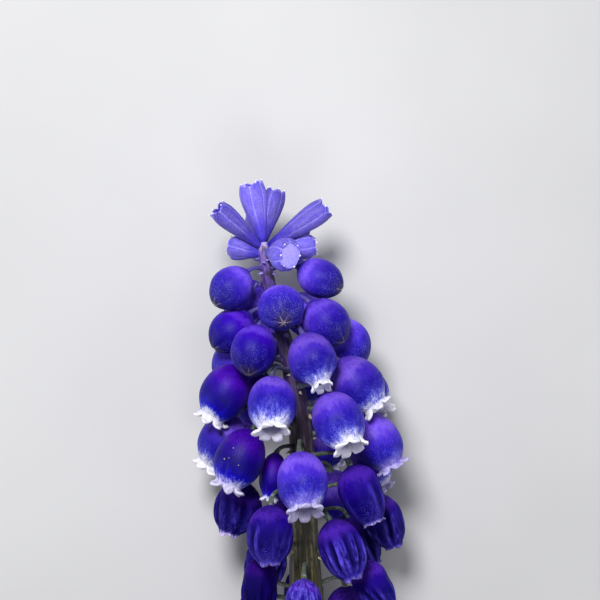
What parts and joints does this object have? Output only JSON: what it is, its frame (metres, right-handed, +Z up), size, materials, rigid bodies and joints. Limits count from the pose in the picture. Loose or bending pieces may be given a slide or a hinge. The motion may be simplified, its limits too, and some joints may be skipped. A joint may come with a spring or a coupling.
{
  "type": "grape hyacinth flower",
  "caption": "Picked grape hyacinth lying on its side: a bare green stalk, a spike of nodding violet-blue urn-shaped bells with buds above, and a tuft of narrow pale florets at the tip.",
  "frame": {"origin": "on the surface that the flower lies on, below the middle of its bounding box", "axes": "+Y along the stalk from the cut end towards the tip, +Z up from the surface, +X across to the right as seen from above with the tip pointing away"},
  "size_m": [0.02, 0.0882, 0.018],
  "materials": {
    "stalk": "satin",
    "bells": "satin",
    "sterile_florets": "satin"
  },
  "bodies": {
    "root": {"scape": "stalk", "raceme": "bells", "sterile_tuft": "sterile_florets"}
  },
  "joints": []
}
